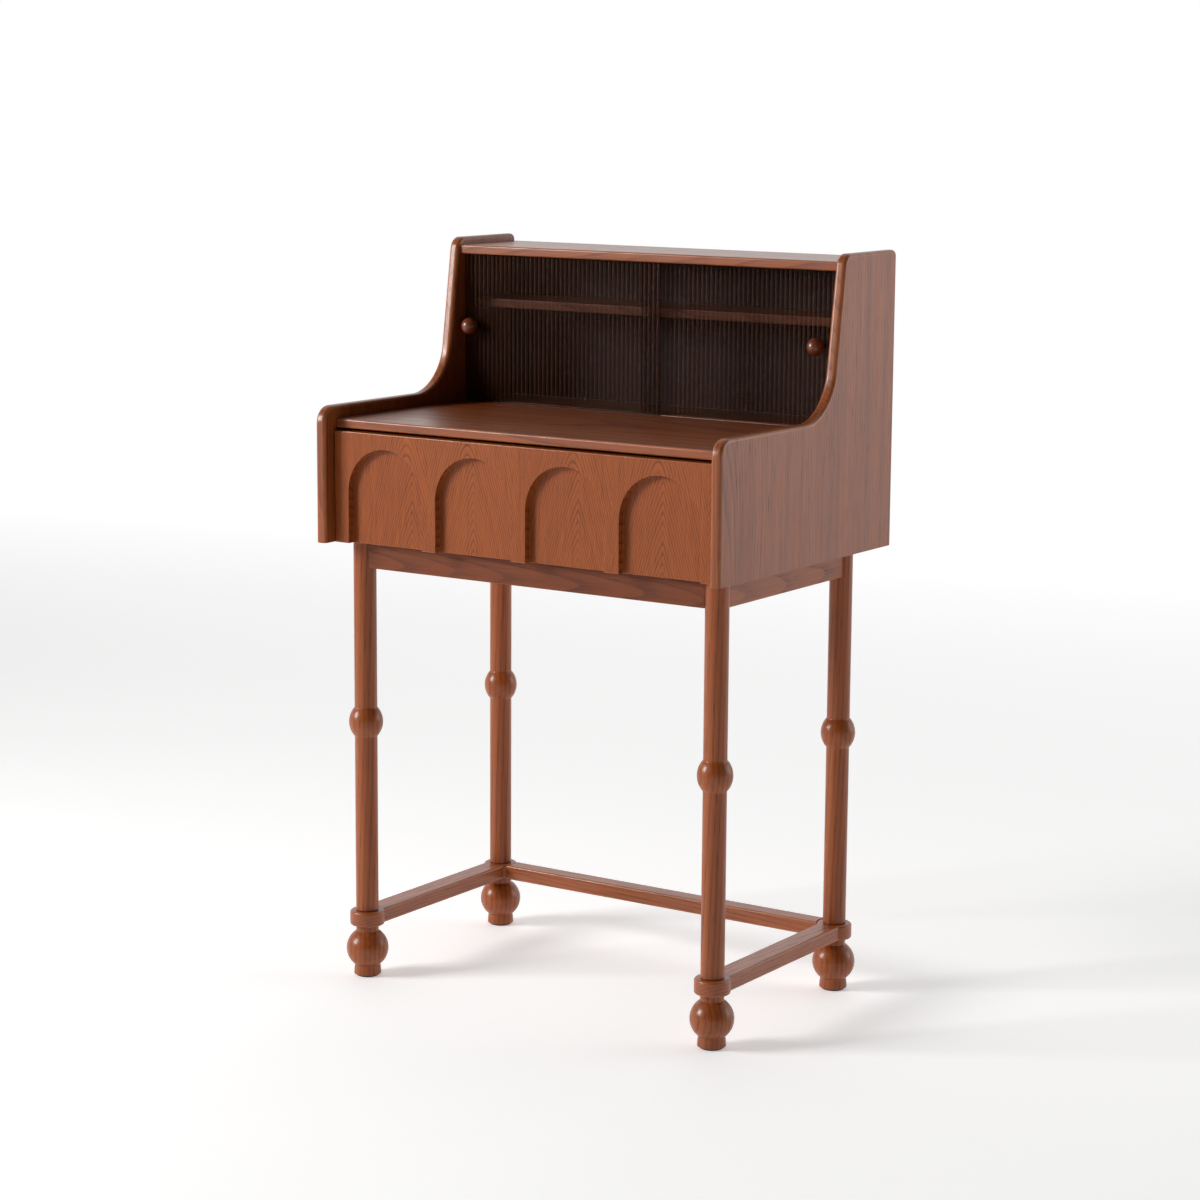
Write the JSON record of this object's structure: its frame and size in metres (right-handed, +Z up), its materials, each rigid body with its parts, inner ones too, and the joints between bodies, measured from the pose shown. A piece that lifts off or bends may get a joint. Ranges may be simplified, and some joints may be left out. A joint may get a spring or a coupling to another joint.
{
  "type": "writing desk with hutch",
  "caption": "Small writing desk: turned legs with ball feet, arched drawer front, S-shaped sides and a hutch closed by sliding reeded doors.",
  "frame": {"origin": "on the floor, under the middle of the desk's width and depth", "axes": "+X to the desk's right, +Y to its back, +Z up"},
  "size_m": [0.615, 0.425, 0.972],
  "materials": {
    "stained_ash": "red-brown stain under satin lacquer, open grain",
    "drawer_wood": "plain light wood, thin sealer",
    "smoked_glass": "dark brown reeded glass",
    "steel": "zinc-plated steel",
    "felt": "dark pressed felt"
  },
  "bodies": {
    "case": {"case_back": "stained_ash", "case_bottom": "stained_ash", "case_screw_front_left": "steel", "case_screw_front_right": "steel", "case_screw_rear_left": "steel", "case_screw_rear_right": "steel", "corner_block_front_left": "stained_ash", "corner_block_front_right": "stained_ash", "corner_block_rear_left": "stained_ash", "corner_block_rear_right": "stained_ash", "desk_board": "stained_ash", "foot_front_left": "stained_ash", "foot_front_right": "stained_ash", "foot_rear_left": "stained_ash", "foot_rear_right": "stained_ash", "front_apron": "stained_ash", "glide_front_left": "felt", "glide_front_right": "felt", "glide_rear_left": "felt", "glide_rear_right": "felt", "hutch_back": "stained_ash", "hutch_shelf": "stained_ash", "left_apron": "stained_ash", "leg_bolt_front_left": "steel", "leg_bolt_front_right": "steel", "leg_bolt_rear_left": "steel", "leg_bolt_rear_right": "steel", "leg_front_left": "stained_ash", "leg_front_right": "stained_ash", "leg_rear_left": "stained_ash", "leg_rear_right": "stained_ash", "rear_apron": "stained_ash", "right_apron": "stained_ash", "runner_case_member_left": "steel", "runner_case_member_right": "steel", "shelf_pin_front_left": "steel", "shelf_pin_front_right": "steel", "shelf_pin_rear_left": "steel", "shelf_pin_rear_right": "steel", "side_panel_left": "stained_ash", "side_panel_right": "stained_ash", "stretcher_left": "stained_ash", "stretcher_rear": "stained_ash", "stretcher_right": "stained_ash", "top_board": "stained_ash"},
    "front_door": {"front_door_glass": "smoked_glass", "front_door_knob": "stained_ash", "front_door_knob_screw": "steel"},
    "rear_door": {"rear_door_glass": "smoked_glass", "rear_door_knob": "stained_ash", "rear_door_knob_screw": "steel"},
    "drawer": {"drawer_front": "stained_ash", "drawer_side_left": "drawer_wood", "drawer_side_right": "drawer_wood", "drawer_back": "drawer_wood", "drawer_bottom": "drawer_wood", "runner_drawer_member_left": "steel", "runner_drawer_member_right": "steel"},
    "runner_middle_left": {"runner_middle_member_left": "steel"},
    "runner_middle_right": {"runner_middle_member_right": "steel"}
  },
  "joints": [
    {"name": "drawer_slide", "type": "slide", "parent": "case", "child": "drawer", "axis": [0, -1, 0], "range_m": [0, 0.34]},
    {"name": "runner_middle_left_slide", "type": "slide", "parent": "case", "child": "runner_middle_left", "axis": [0, -1, 0], "range_m": [0, 0.17]},
    {"name": "runner_middle_right_slide", "type": "slide", "parent": "case", "child": "runner_middle_right", "axis": [0, -1, 0], "range_m": [0, 0.17]},
    {"name": "front_door_slide", "type": "slide", "parent": "case", "child": "front_door", "axis": [1, 0, 0], "range_m": [0, 0.108]},
    {"name": "rear_door_slide", "type": "slide", "parent": "case", "child": "rear_door", "axis": [-1, 0, 0], "range_m": [0, 0.108]}
  ],
  "couplings": [
    {"joint": "runner_middle_left_slide", "follows": "drawer_slide", "ratio": 0.5},
    {"joint": "runner_middle_right_slide", "follows": "drawer_slide", "ratio": 0.5}
  ]
}
